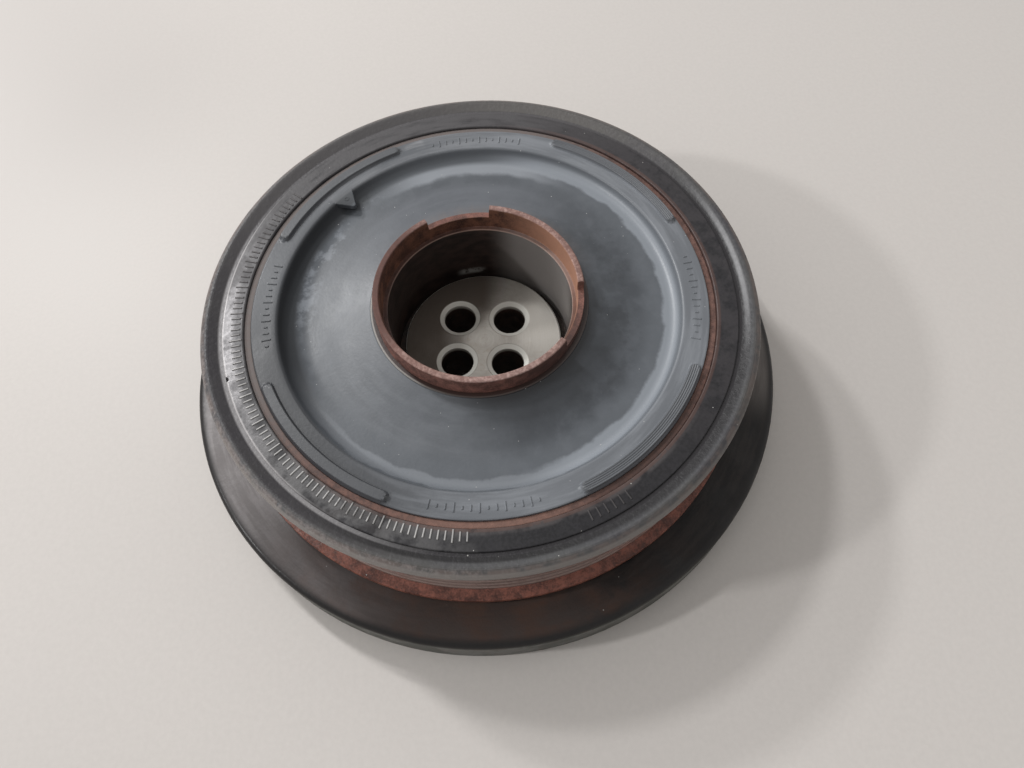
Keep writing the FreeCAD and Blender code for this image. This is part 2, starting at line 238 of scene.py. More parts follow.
groove_mouth = rib_pitch - rib_tip_width
groove_root = groove_mouth - 2 * groove_depth * math.tan(groove_half_angle)
outline = [(seal_bore_r, rim_back_z), (back_flange_r, rim_back_z, 0.4),
           (back_flange_r, back_flange_edge_z, 0.5), (rib_r, first_land_z, groove_radius)]
for rib in range(rib_count):
    middle_z = first_land_z + 1.0 + rib_pitch * (rib + 0.5)
    for r, across in ((rib_r, -groove_mouth), (groove_r, -groove_root), (groove_r, groove_root),
                      (rib_r, groove_mouth)):
        outline.append((r, middle_z + across / 2, groove_radius))
outline += [(rib_r, belt_top_z, groove_radius), (lip_r, lip_edge_z, 0.5), (lip_r, lip_top_z, 2.4),
            (lip_inner_r + lip_slope_width, lip_top_z, 3.0), (lip_inner_r, channel_z, 1.2),
            (channel_inner_r, channel_z), (channel_inner_r, flange_seat_z),
            (front_bore_r, flange_seat_z), (front_bore_r, web_top_z), (bearing_boss_r, web_top_z),
            (bearing_boss_r, boss_front_z), (bearing_bore_r, boss_front_z),
            (bearing_bore_r, boss_back_z), (bearing_boss_r, boss_back_z),
            (bearing_boss_r, web_back_z), (seal_bore_r, web_back_z)]
belt_rim = make_piece("belt_rim", "belt_pulley", *spun_mesh(outline, even_angles(ring_steps)))
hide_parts("belt_pulley")

# %% [markdown]
# ## Front flange
# A stamped ring sits inside the lip, and its skirt is pressed into the rim. It has one small
# round nick in its outer edge. A boolean cut would work, but the nick goes right through a thin
# flat ring, so the edge's points are pulled in along its circle, with more angles there.

# %% Front flange
nick_angle = 193.9
nick_radius = 0.9


def angle_from(angle, centre):
    """Signed angle from a centre, between -180 and 180 degrees."""
    return (angle - centre + 180) % 360 - 180


def angles_with_detail(count, centres, half_span, step):
    """Even angles plus a fine run of angles about each centre."""
    angles = set(round(angle, 4) for angle in even_angles(count))
    fine = math.ceil(half_span / step)
    for centre in centres:
        angles = {a for a in angles if abs(angle_from(a, centre)) > half_span + step / 2}
        angles |= {round((centre + step * k) % 360, 4) for k in range(-fine, fine + 1)}
    return sorted(angles)


def nicked(r, z, angle):
    """Pulls the flange's outer edge in along the nick's circle."""
    across = math.radians(angle_from(angle, nick_angle)) * flange_r
    if abs(across) < nick_radius:
        r = min(r, flange_r - math.sqrt(nick_radius ** 2 - across ** 2))
    return r, z


outline = [(outer_ring_r, skirt_back_z), (front_bore_r, skirt_back_z),
           (front_bore_r, flange_seat_z), (flange_r, flange_seat_z),
           (flange_r, flange_top_z, 0.45), (outer_ring_r, flange_top_z, 0.5)]
angles = angles_with_detail(ring_steps, [nick_angle], half_span=0.72, step=0.06)
front_flange = make_piece("front_flange", "front_ring", *spun_mesh(outline, angles, nicked))
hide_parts("front_ring")

# %% [markdown]
# ## Outer ring of the rubber spring
# A thin steel ring is bonded round the rubber and pressed into the flange's skirt. Only its
# front edge shows, a little below the flange, as a rusty line. A cylinder with a bevel would
# do, and so does an outline of four corners, two of them broken as a lathe leaves them.

# %% Outer ring
outline = [(land_r, outer_ring_back_z), (outer_ring_r, outer_ring_back_z),
           (outer_ring_r, outer_ring_top_z, 0.3), (land_r, outer_ring_top_z, 0.3)]
rusty_ring = make_piece("rusty_ring", "decoupler_outer_ring",
                        *spun_mesh(outline, even_angles(ring_steps)))
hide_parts("decoupler_outer_ring")

# %% [markdown]
# ## Rubber spring
# The dark disc is moulded rubber: a collar round the sleeve, a shallow dome, a valley, and a
# flat land with four raised pads. Pads could be separate meshes set on the land, but a moulding
# has one skin, so the outline has many points across the land and the pads are lifted out of
# it. Two of them carry fine ridges.

# %% Rubber spring's disc
disc_steps = 720
pad_width = 3.7
pad_span = 45.0
pad_edge = 0.55
pad_angles = (41.2, 131.2, 221.2, 311.2)
ridged_pad_angles = (41.2, 311.2)
ridge_pitch = 0.62
ridge_height = 0.1
land_inner_r = land_r - 8.0
valley_r = land_inner_r - 1.6
collar_r = sleeve_r + 1.6
pad_middle_r = land_r - 0.2 - pad_width / 2
pad_height = pad_top_z - flange_top_z
collar_top_z = lip_top_z - 1.0
collar_ledge_z = collar_top_z - 0.6
dome_r = (collar_r + valley_r) / 2
dome_z = collar_ledge_z - 2.0
dome_back_z = dome_z - 10.7
dome_radii = (57.9, 55, 52, 49, 46, 43, 40, 37, 35)
valley_z = flange_top_z - 3.3
skin_z = flange_top_z - 0.6


def smooth_step(value):
    """A soft step from 0 to 1."""
    value = min(max(value, 0.0), 1.0)
    return value * value * (3 - 2 * value)


def lift_pads(r, z, angle):
    """Raises the land's skin where a pad is, with rounded edges and, on two pads, ridges."""
    if z < skin_z or r < pad_middle_r - pad_width or r > land_r:
        return r, z
    for centre in pad_angles:
        offset = abs(angle_from(angle, centre))
        if offset > pad_span / 2 + 1:
            continue
        half_length = math.radians(pad_span / 2) * pad_middle_r - pad_width / 2
        beyond = max(math.radians(offset) * pad_middle_r - half_length, 0.0)
        depth = pad_width / 2 - math.hypot(r - pad_middle_r, beyond)
        z += pad_height * smooth_step(depth / pad_edge)
        if centre in ridged_pad_angles:
            wave = math.cos(math.tau * (r - pad_middle_r) / ridge_pitch)
            z += ridge_height * (wave - 1) * smooth_step((depth - pad_edge) / pad_edge)
    return r, z


def dome_height(r):
    """Height of the dome's skin, on a curve through the ledge, the dome and the valley."""
    across = (r - collar_r) / (valley_r - collar_r)
    bend = 2 * (collar_ledge_z - 2 * dome_z + valley_z)
    return collar_ledge_z + across * (valley_z - collar_ledge_z - bend + across * bend)


land_points = 34
land_edge_r = land_r - 0.3
land_step = (land_edge_r - (pad_middle_r - pad_width / 2 - 0.3)) / land_points
outline = [(sleeve_r, membrane_back_z), (dome_r, dome_back_z), (valley_r, barrel_top_z + 1.0),
           (land_r, outer_ring_back_z), (land_r, skin_z), (land_r - 0.1, flange_top_z - 0.15)]
outline += [(land_edge_r - land_step * k, flange_top_z) for k in range(1, land_points)]
outline += [(land_inner_r, flange_top_z, 1.2), (valley_r, valley_z, 3.0)]
outline += [(r, dome_height(r)) for r in dome_radii]
outline += [(collar_r, collar_ledge_z, 0.4), (collar_r, collar_top_z, 0.3),
            (sleeve_r, collar_top_z)]
disc = spun_mesh(outline, even_angles(disc_steps), lift_pads)
print("disc has", len(disc[1]), "faces")

# %% [markdown]
# ### Pointed tab
# The tab overhangs the valley, which a lifted skin can't do, so it is a small closed block of
# its own. It has a small round mark on it, and both are joined into the disc's mesh.

# %% Rubber spring's tab
tab_angle = 131.8
tab_half_base = math.radians(3.65) * land_inner_r
tab_tip_r = land_inner_r - 6.4
tab_root_r = land_inner_r + 3.0
tab_back_z = flange_top_z - 1.6
tab_edge_z = flange_top_z - 0.25
tab_top_z = flange_top_z + 0.02
tab_edge = 0.3
mark_inner_r = 0.45
mark_outer_r = 0.9
mark_slope = 0.1
mark_foot_z = flange_top_z - 0.1
mark_top_z = mark_foot_z + 0.22
mark_steps = 24


def swung(x, y, z, angle):
    """A point turned about the axis."""
    turn = math.radians(angle)
    return (x * math.cos(turn) - y * math.sin(turn), x * math.sin(turn) + y * math.cos(turn), z)


def stacked(loops):
    """A closed block from loops of points, one above the other."""
    count = len(loops[0])
    vertices = [point for loop in loops for point in loop]
    top = len(vertices) - count
    faces = [tuple(range(count - 1, -1, -1)), tuple(range(top, top + count))]
    for low in range(0, top, count):
        faces += walls(low, low + count, count)
    return vertices, faces


def join_meshes(*meshes):
    """One vertex and face list from several."""
    vertices, faces = [], []
    for more_vertices, more_faces in meshes:
        start = len(vertices)
        vertices += more_vertices
        faces += [tuple(start + index for index in face) for face in more_faces]
    return vertices, faces


flat = rounded([(tab_root_r, -tab_half_base), (tab_root_r, tab_half_base),
                (land_inner_r, tab_half_base, 0.8), (tab_tip_r, 0, 1.0),
                (land_inner_r, -tab_half_base, 0.8)])
loops = []
for z, shrink in ((tab_back_z, 0.0), (tab_edge_z, 0.0), (tab_top_z, tab_edge)):
    scale = 1 - shrink / tab_half_base
    loops.append([swung(land_inner_r + (x - land_inner_r) * scale, y * scale, z, tab_angle)
                  for x, y in flat])
outline = [(mark_inner_r, mark_foot_z), (mark_outer_r, mark_foot_z),
           (mark_outer_r - mark_slope, mark_top_z), (mark_inner_r + mark_slope, mark_top_z)]
mark_vertices, mark_faces = spun_mesh(outline, even_angles(mark_steps))
mark_middle = swung(land_inner_r - 1.6, 0, 0, tab_angle)
mark = ([(x + mark_middle[0], y + mark_middle[1], z) for x, y, z in mark_vertices], mark_faces)
rubber_spring = make_piece("rubber_spring", "decoupler_membrane",
                           *join_meshes(disc, stacked(loops), mark), 50)
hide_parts("decoupler_membrane")

# %% [markdown]
# ## Notched sleeve
# A steel tube stands in the middle. Its mouth is bored out for a cap, and two notches are
# milled in its rim. They are made as the nick was: points above the notch floor are brought
# down to it, and pairs of close angles give the notch its upright ends.

# %% Notched sleeve
notch_span = 38.5
notch_centres = (97.9, 337.9)
notch_end_width = 0.5
sleeve_steps = 240
well_r = sleeve_r - 3.4
cap_seat_r = well_r + 1.4
cap_seat_z = sleeve_top_z - 8.3
notch_z = sleeve_top_z - 3.8


def notched(r, z, angle):
    """Brings the rim down to the notch floor inside a notch."""
    if z <= notch_z:
        return r, z
    for centre in notch_centres:
        inside = (notch_span / 2 - abs(angle_from(angle, centre))) / notch_end_width + 0.5
        z += (notch_z - z) * smooth_step(inside)
    return r, z


outline = [(well_r, sleeve_back_z), (sleeve_r, sleeve_back_z), (sleeve_r, notch_z - 0.3),
           (sleeve_r, notch_z + 0.3), (sleeve_r, sleeve_top_z, 0.45),
           (cap_seat_r, sleeve_top_z, 0.45), (cap_seat_r, notch_z + 0.3),
           (cap_seat_r, notch_z - 0.3), (cap_seat_r, cap_seat_z, 0.15), (well_r, cap_seat_z, 0.3)]
notch_ends = [centre + end * notch_span / 2 for centre in notch_centres for end in (-1, 1)]
angles = angles_with_detail(sleeve_steps, notch_ends, half_span=0.4, step=0.1)
notched_sleeve = make_piece("notched_sleeve", "inner_sleeve", *spun_mesh(outline, angles, notched))
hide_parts("inner_sleeve")

# %% [markdown]
# ## Hub
# The hub is a forging: a thick boss that takes the four bolts, a dished web, and a barrel that
# carries the damper and the belt rim's bearing. Only the boss shows, at the bottom of the well.
# Its holes could be cut with booleans. Filling the flat faces round the holes' circles, and
# bridging the circles with walls, keeps the holes round and the mesh closed.

# %% Hub
boss_r = well_r - 2.6
boss_top_z = hub_back_z + 22.3
register_z = hub_back_z + 17.5
pilot_r = 21.0
pilot_z = hub_back_z + 4.0
hub_foot_r = 30.0
barrel_inner_r = barrel_r - 3.6
barrel_back_z = hub_back_z + 1.0
hub_web_back_z = hub_back_z + 4.0
web_rise = 4.0
bolt_hole_r = 5.35
countersink_r = bolt_hole_r + 1.65
countersink_depth = 0.9
bolt_circle_r = 11.75
first_bolt_angle = 37.3
edge_break = 0.4
hub_steps = 192
hole_steps = 64
hub = bmesh.new()


def add_circles(centre, circles, count):
    """Circles with walls between them. Gives the edges of the first and of the last one."""
    loops = [[hub.verts.new((centre[0] + radius * math.cos(math.tau * k / count),
                             centre[1] + radius * math.sin(math.tau * k / count), z))
              for k in range(count)] for radius, z in circles]
    for low, high in zip(loops, loops[1:]):
        for k in range(count):
            following = (k + 1) % count
            hub.faces.new((low[k], low[following], high[following], high[k]))
    return [[hub.edges.get((loop[k], loop[(k + 1) % count])) for k in range(count)]
            for loop in (loops[0], loops[-1])]


top_edges, back_edges = add_circles(
    (0, 0), [(boss_r - edge_break, boss_top_z), (boss_r, boss_top_z - edge_break),
             (boss_r, register_z), (well_r, register_z), (well_r, sleeve_back_z),
             (sleeve_r + 1.0, sleeve_back_z), (barrel_inner_r, sleeve_back_z + web_rise),
             (barrel_inner_r, barrel_top_z), (barrel_r, barrel_top_z), (barrel_r, barrel_back_z),
             (barrel_inner_r, barrel_back_z), (barrel_inner_r, hub_web_back_z + web_rise),
             (hub_foot_r, hub_web_back_z), (hub_foot_r, hub_back_z), (pilot_r, hub_back_z),
             (pilot_r, pilot_z)], hub_steps)
for hole in range(4):
    hole_middle = swung(bolt_circle_r, 0, 0, first_bolt_angle + 90 * hole)
    more_top, more_back = add_circles(
        hole_middle, [(countersink_r, boss_top_z), (bolt_hole_r, boss_top_z - countersink_depth),
                      (bolt_hole_r, pilot_z)], hole_steps)
    top_edges += more_top
    back_edges += more_back
for edges in (top_edges, back_edges):
    bmesh.ops.triangle_fill(hub, edges=edges, use_beauty=True)
hub.verts.index_update()
hub_forging = make_piece("hub_forging", "hub", [tuple(vertex.co) for vertex in hub.verts],
                         [tuple(vertex.index for vertex in face.verts) for face in hub.faces], 25)
hub.free()
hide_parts("hub")

# %% [markdown]
# ## Raised scales
# Small raised ticks stand on the flange and on the rubber land, a plain scale with no words.
# They could be painted or bumped in the material, but real ones catch the light on their edges,
# so each is a small block with sloped sides whose foot sinks a little into its ring.

# %% Scale marks
tick_sink = 0.15
tick_slope = 0.35
flange_rows = ((74.1, 139.5, 1.5, 83, (3.9, 2.9, 2.9, 2.9, 2.9), 0.66, 0.28),
               (75.1, 288.0, 1.8, 6, (3.2,), 0.62, 0.22))
land_rows = [(radius, first, 2.0, 14, (2.9, 1.2, 2.0), 0.6, 0.26)
             for first, radius in ((73, 65.6), (162, 65.0), (253, 66.3), (341, 65.8))]


def mark_block(radius, angle, length, width, height):
    """One raised tick: a block with sloped sides, long in the radial direction."""
    loops = []
    for z, shrink in ((-tick_sink, 0.0), (0, 0.0), (height, tick_slope * width)):
        loops.append([swung(radius + end * (length / 2 - shrink), across * (width / 2 - shrink),
                            flange_top_z + z, angle)
                      for across, end in ((-1, -1), (1, -1), (1, 1), (-1, 1))])
    return stacked(loops)


def scale_marks(name, node, rows):
    """Rows of ticks: radius, first angle, pitch, count, lengths in turn, width and height."""
    blocks = [mark_block(radius, first + pitch * k, lengths[k % len(lengths)], width, height)
              for radius, first, pitch, count, lengths, width, height in rows
              for k in range(count)]
    return make_piece(name, node, *join_meshes(*blocks), weighted=False)


flange_scale = scale_marks("flange_scale", "front_ring", flange_rows)
land_marks = scale_marks("land_marks", "decoupler_membrane", land_rows)

# %% [markdown]
# ## Floor
# The pulley lies on a plain pale table. One large flat sheet is enough. It is not attached to
# the pulley's body.

# %% Floor
half = 3.0  # metres
table_mesh = bpy.data.meshes.new("table_top")
table_mesh.from_pydata([(-half, -half, 0), (half, -half, 0), (half, half, 0), (-half, half, 0)],
                       [], [(0, 1, 2, 3)])
table_top = new_object("table_top", table_mesh)
print("table top", 2 * half, "m wide")

# %% [markdown]
# ## Node helpers
# The world, the shader groups and the finishes are all node trees. One tree is in work at a
# time, and these helpers add their nodes to it, so that a finish below reads like a recipe.

# %% Node helpers
class Work:
    """What is in work: the tree, and for a finish its material and the place of a point."""

    tree = material = place = None


def add_node(kind, **settings):
    """A new node with its settings."""
    node = Work.tree.nodes.new(kind)
    for name, value in settings.items():
        setattr(node, name, value)
    return node


def put(socket, value):
    """Wires an output into a socket, or writes a plain value there, with alpha for a colour."""
    if isinstance(value, bpy.types.NodeSocket):
        Work.tree.links.new(value, socket)
    else:
        socket.default_value = (*value[:3], 1) if socket.type == "RGBA" else value


def feed(kind, *values, output=0, **settings):
    """An output of a new node, with values for its sockets in their order. None leaves one be."""
    node = add_node("ShaderNode" + kind, **settings)
    for socket, value in zip(node.inputs, values):
        if value is not None:
            put(socket, value)
    return node.outputs[output]


def work_out(operation, *values, clamp=False):
    """A Math node."""
    return feed("Math", *values, operation=operation, use_clamp=clamp)


def on_vectors(operation, *values, output=0):
    """A Vector Math node."""
    return feed("VectorMath", *values, output=output, operation=operation)


def ramp(value, start, end, low=0.0, high=1.0):
    """A smooth step from low to high as value goes from start to end."""
    return feed("MapRange", value, start, end, low, high, interpolation_type="SMOOTHSTEP")


def step_about(value, level, softness, low=0.0, high=1.0):
    """A smooth step about a level, as wide as the softness on either side."""
    return ramp(value, work_out("SUBTRACT", level, softness), work_out("ADD", level, softness),
                low, high)


def mix_colours(mask, first, second):
    """The first colour where the mask is 0 and the second where it is 1."""
    return feed("Mix", mask, *[None] * 5, first, second, output=2, data_type="RGBA")


# %% [markdown]
# ## Light
# The shadows in the photograph fall to the lower right, from three lamps on the upper left. Area
# lamps give the same soft edges. Their power is worked out from the share of the table's light
# that each should give. Lamps and world together come to 1, so a colour renders about as it is
# written. The world is brighter on the lamps' side, and where the camera or a reflection sees it.

# %% Lamps and world
world_share = 0.5
seen_strength = 0.7
bright_bearing = math.radians(140)
lamp_plans = (("left_lamp", 184.0, 34.3, 1.4, 0.09, 0.15),
              ("far_lamp", 130.0, 36.3, 2.4, 0.16, 0.15),
              ("near_lamp", 128.0, 49.8, 1.2, 0.1, 0.2))


def add_lamp(name, bearing, height_angle, distance, size, share):
    """A square area lamp that gives its share of the light on the table."""
    turn, lift = math.radians(bearing), math.radians(height_angle)
    direction = Vector((math.cos(turn) * math.cos(lift), math.sin(turn) * math.cos(lift),
                        math.sin(lift)))
    lamp = new_object(name, bpy.data.lights.new(name, "AREA"))
    lamp.data.size = size
    lamp.data.energy = share * math.pi ** 2 * distance ** 2 / math.sin(lift)
    lamp.location = direction * distance
    lamp.rotation_euler = direction.to_track_quat("Z", "Y").to_euler()
    print(name, "power", round(lamp.data.energy, 2), "W")


for plan in lamp_plans:
    add_lamp(*plan)
world = bpy.data.worlds.new("studio")
world.use_nodes = True
bpy.context.scene.world = world
Work.tree = world.node_tree
background = Work.tree.nodes["Background"]
put(background.inputs["Color"], (1.0, 0.985, 0.965))
towards = on_vectors("DOT_PRODUCT", feed("TexCoord", output="Generated"),
                     (math.cos(bright_bearing), math.sin(bright_bearing), 0), output="Value")
slope = feed("MapRange", towards, -1, 1, world_share * 0.5, world_share * 1.5)
seen = add_node("ShaderNodeLightPath").outputs
rays = seen["Is Camera Ray"]
for kind in ("Is Glossy Ray", "Is Transmission Ray"):
    rays = work_out("MAXIMUM", rays, seen[kind])
put(background.inputs["Strength"], feed("Mix", rays, None, slope, seen_strength))
bpy.context.scene.view_settings.view_transform = "Standard"

# %% [markdown]
# ## Shared shader groups
# The finishes share a few effects: rings at a given radius, one side of the pulley, blotches,
# streaks, specks and rust. Each is a node group with named inputs, built once. Painted or baked
# textures could do this too, but groups stay sharp at any size. A turned part is best described
# by radius and height, so the first group turns a point into these and its direction.

# %% Turned place group
MASK = {"Mask": "Float"}


def start_group(name, outputs, **inputs):
    """An empty node group, now in work, with its named sockets. None stands for a vector."""
    group = Work.tree = bpy.data.node_groups.new(name, "ShaderNodeTree")
    for label, value in inputs.items():
        kind = "Vector" if value is None else "Color" if isinstance(value, tuple) else "Float"
        socket = group.interface.new_socket(label, in_out="INPUT", socket_type="NodeSocket" + kind)
        if value is not None:
            socket.default_value = value
    for label, kind in outputs.items():
        group.interface.new_socket(label, in_out="OUTPUT", socket_type="NodeSocket" + kind)
    print("group", name, "gives", ", ".join(outputs))
    return group, add_node("NodeGroupInput").outputs, add_node("NodeGroupOutput").inputs


turned_place, given, made = start_group("turned_place", {"Place": "Vector", "Radius": "Float",
                                                         "Height": "Float", "Direction": "Vector"})
place = on_vectors("SCALE", feed("TexCoord", output="Object"), None, None, 1 / MM)
flat_place = on_vectors("MULTIPLY", place, (1, 1, 0))
put(made["Place"], place)
put(made["Radius"], on_vectors("LENGTH", flat_place, output="Value"))
put(made["Height"], feed("SeparateXYZ", place, output="Z"))
put(made["Direction"], on_vectors("NORMALIZE", flat_place))

# %% [markdown]
# ### Ring band and one side
# Wear, dust and rust sit on certain rings of the pulley, and mostly on one side of it. One
# group masks a band of any value, such as the radius, and the other a sector about a bearing.

# %% Band and side groups
ring_band, given, made = start_group("ring_band", MASK, Value=0.0, Start=0.0, End=1.0,
                                     Softness=0.5)
limits = [step_about(given["Value"], given[label], given["Softness"]) for label in ("Start", "End")]
put(made["Mask"], work_out("SUBTRACT", *limits, clamp=True))

one_side, given, made = start_group("one_side", MASK, Direction=None, Bearing=0.0, Span=45.0,
                                    Softness=15.0)
bearing = work_out("RADIANS", given["Bearing"])
towards = feed("CombineXYZ", work_out("COSINE", bearing), work_out("SINE", bearing))
nearness = on_vectors("DOT_PRODUCT", given["Direction"], towards, output="Value")
off_bearing = work_out("DEGREES", work_out("ARCCOSINE", nearness))
put(made["Mask"], step_about(off_bearing, given["Span"], given["Softness"], 1.0, 0.0))

# %% [markdown]
# ### Blotches, streaks and specks
# Blotches are noise cut at a level, for stains and worn patches. Streaks are the same noise
# stretched along the turning or the radius, by feeding it the direction and radius at different
# scales, which leaves no seam. Specks are dots of dust, in some cells of a Voronoi pattern.

# %% Blotch, streak and speck groups
def noise(vector, seed, scale, detail, roughness):
    """Noise with a seed of its own."""
    return feed("TexNoise", vector, seed, scale, detail, roughness, noise_dimensions="4D")


def cut_noise(vector, scale):
    """Noise cut softly at the level that gives the wanted share."""
    level = ramp(given["Amount"], 0.0, 1.0, 0.72, 0.28)
    return step_about(noise(vector, given["Seed"], scale, 5, 0.6), level, given["Softness"])


blotches, given, made = start_group("blotches", MASK, Place=None, Size=5.0, Amount=0.5,
                                    Softness=0.08, Seed=0.0)
put(made["Mask"], cut_noise(given["Place"], work_out("DIVIDE", 1.0, given["Size"])))

streaks, given, made = start_group("streaks", MASK, Direction=None, Radius=0.0, Height=0.0,
                                   Around=2.0, Across=1.0, Amount=0.5, Softness=0.1, Seed=0.0)
outward = work_out("ADD", given["Radius"], given["Height"])
along = feed("CombineXYZ", None, None, work_out("MULTIPLY", outward, given["Across"]))
round_axis = on_vectors("SCALE", given["Direction"], None, None, given["Around"])
put(made["Mask"], cut_noise(on_vectors("ADD", round_axis, along), 1.0))

specks, given, made = start_group("specks", MASK, Place=None, Spacing=2.0, Size=0.1, Share=0.3)
cells = add_node("ShaderNodeTexVoronoi")
put(cells.inputs["Vector"], given["Place"])
put(cells.inputs["Scale"], work_out("DIVIDE", 1.0, given["Spacing"]))
parts = add_node("ShaderNodeSeparateColor")
put(parts.inputs[0], cells.outputs["Color"])
speck_radius = work_out("MULTIPLY", given["Size"], parts.outputs["Green"])
dot = ramp(cells.outputs["Distance"], work_out("MULTIPLY", speck_radius, 0.6), speck_radius,
           1.0, 0.0)
chosen = work_out("LESS_THAN", parts.outputs["Red"], given["Share"])
put(made["Mask"], work_out("MULTIPLY", dot, chosen))

# %% [markdown]
# ### Rust
# Rust is never one brown. It has dark scale, fresh orange powder and a fine grain that also
# stands up from the surface, so the group gives a colour and a height.

# %% Rust group
rust, given, made = start_group("rust", {"Color": "Color", "Height": "Float"}, Place=None,
                                Size=3.0, Deep=(0.05, 0.02, 0.014, 1),
                                Fresh=(0.22, 0.075, 0.035, 1), Seed=0.0)
coarse, fine = [noise(given["Place"], given["Seed"], work_out("DIVIDE", factor, given["Size"]),
                      detail, 0.65) for factor, detail in ((1.0, 6), (7.0, 3))]
mixture = work_out("MULTIPLY_ADD", fine, 0.35, work_out("MULTIPLY", coarse, 0.65))
put(made["Color"], mix_colours(ramp(mixture, 0.38, 0.62), given["Deep"], given["Fresh"]))
put(made["Height"], mixture)

# %% [markdown]
# ## Finishes
# Each finish starts from a Principled shader and the turned place of the point. A base colour is
# then covered, layer by layer, with what years of use left on it. A layer is written as its
# masks, its strength and its colour. Bump depths are in millimetres.

# %% Finish helpers
def use(group, *values):
    """The outputs of a group in the finish. What it needs of the place is wired by name."""
    node = add_node("ShaderNodeGroup", node_tree=group)
    rest = iter(values)
    for socket in node.inputs:
        put(socket, Work.place[socket.name] if socket.name in Work.place else next(rest))
    return node.outputs


def start_finish(name, specular=0.5):
    """A new material, now in work. Gives the radius and the height of a point."""
    Work.material = bpy.data.materials.new(name)
    Work.material.use_nodes = True
    Work.tree = Work.material.node_tree
    put(Work.tree.nodes["Principled BSDF"].inputs["Specular IOR Level"], specular)
    Work.place = use(turned_place)
    return Work.place["Radius"], Work.place["Height"]


def band(value, start, end, softness=0.4):
    """Mask of a value between two limits."""
    return use(ring_band, value, start, end, softness)[0]


def side(bearing, span, softness=18.0):
    """Mask of a sector, in degrees to either side of its bearing."""
    return use(one_side, bearing, span, softness)[0]


def blotch(size, amount, seed, softness=0.08):
    """Mask of patches of a size in millimetres."""
    return use(blotches, size, amount, softness, seed)[0]


def streak(around, across, amount, seed, softness=0.1):
    """Mask of streaks."""
    return use(streaks, around, across, amount, softness, seed)[0]


def speck(spacing, size, share):
    """Mask of dust."""
    return use(specks, spacing, size, share)[0]


def both(*masks):
    """The product of masks and plain factors."""
    result = masks[0]
    for mask in masks[1:]:
        result = work_out("MULTIPLY", result, mask)
    return result


def cover(colour, *layers):
    """A colour covered in turn by layers. A layer's last value is its colour."""
    for layer in layers:
        colour = mix_colours(both(*layer[:-1]), colour, layer[-1])
    return colour


def finish(*targets, colour, roughness, bump, depth, metallic=0.0):
    """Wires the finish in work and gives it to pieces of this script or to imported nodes."""
    relief = add_node("ShaderNodeBump")
    put(relief.inputs["Distance"], depth * MM)
    put(relief.inputs["Height"], bump)
    shader = Work.tree.nodes["Principled BSDF"].inputs
    for label, value in (("Base Color", colour), ("Roughness", roughness), ("Metallic", metallic),
                         ("Normal", relief.outputs[0])):
        put(shader[label], value)
    for target in targets:
        if isinstance(target, str):
            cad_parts[target].material_slots[0].material = Work.material
        else:
            target.data.materials.append(Work.material)
    print("finish", Work.material.name, "on", len(targets), "pieces")


# %% [markdown]
# ### Table
# The table is a pale warm laminate with a very fine grain and a slight gloss. An image of it
# would show its repeats on so large a sheet. Noise at two scales gives the grain and a faint
# unevenness instead, and two wide sectors far out are darkened as painted shade, which tones
# down the lamps' reflection on the table.

# %% Table finish
radius, height = start_finish("pale_laminate", 0.16)
grain = blotch(1.6, 0.5, 3.0, 0.3)
far_out = ramp(radius, 130.0, 230.0)
finish(table_top, bump=grain, depth=0.006, roughness=ramp(grain, 0, 1, 0.4, 0.46), colour=cover(
    mix_colours(grain, (0.635, 0.6, 0.572), (0.675, 0.638, 0.608)),
    (blotch(160.0, 0.5, 5.0, 0.3), 0.3, (0.63, 0.6, 0.575)),
    # painted shade: two far sectors of the table are darkened to tone down the lamps' reflection
    (side(138, 16, 16), far_out, 0.5, (0.48, 0.45, 0.43)),
    (side(230, 18, 18), far_out, 0.35, (0.48, 0.45, 0.43)),
    (speck(42.0, 0.018, 0.35), (0.33, 0.3, 0.27))))

# %% [markdown]
# ### Belt rim steel
# The lip keeps a blue-grey paint, worn and dusty. The ribbed seat is bare steel, polished by
# the belt and dulled since, with fine lines from turning. The back flange and the hidden web
# have rusted. On the lip's inner slope, painted shade darkens the left side and the foot on the
# right, painted light brightens the right side a little, and a painted highlight runs along it
# there. Its faces could be shared out between three materials, which leaves hard borders.
# One material covers the rim instead, and soft bands of height and radius divide it.

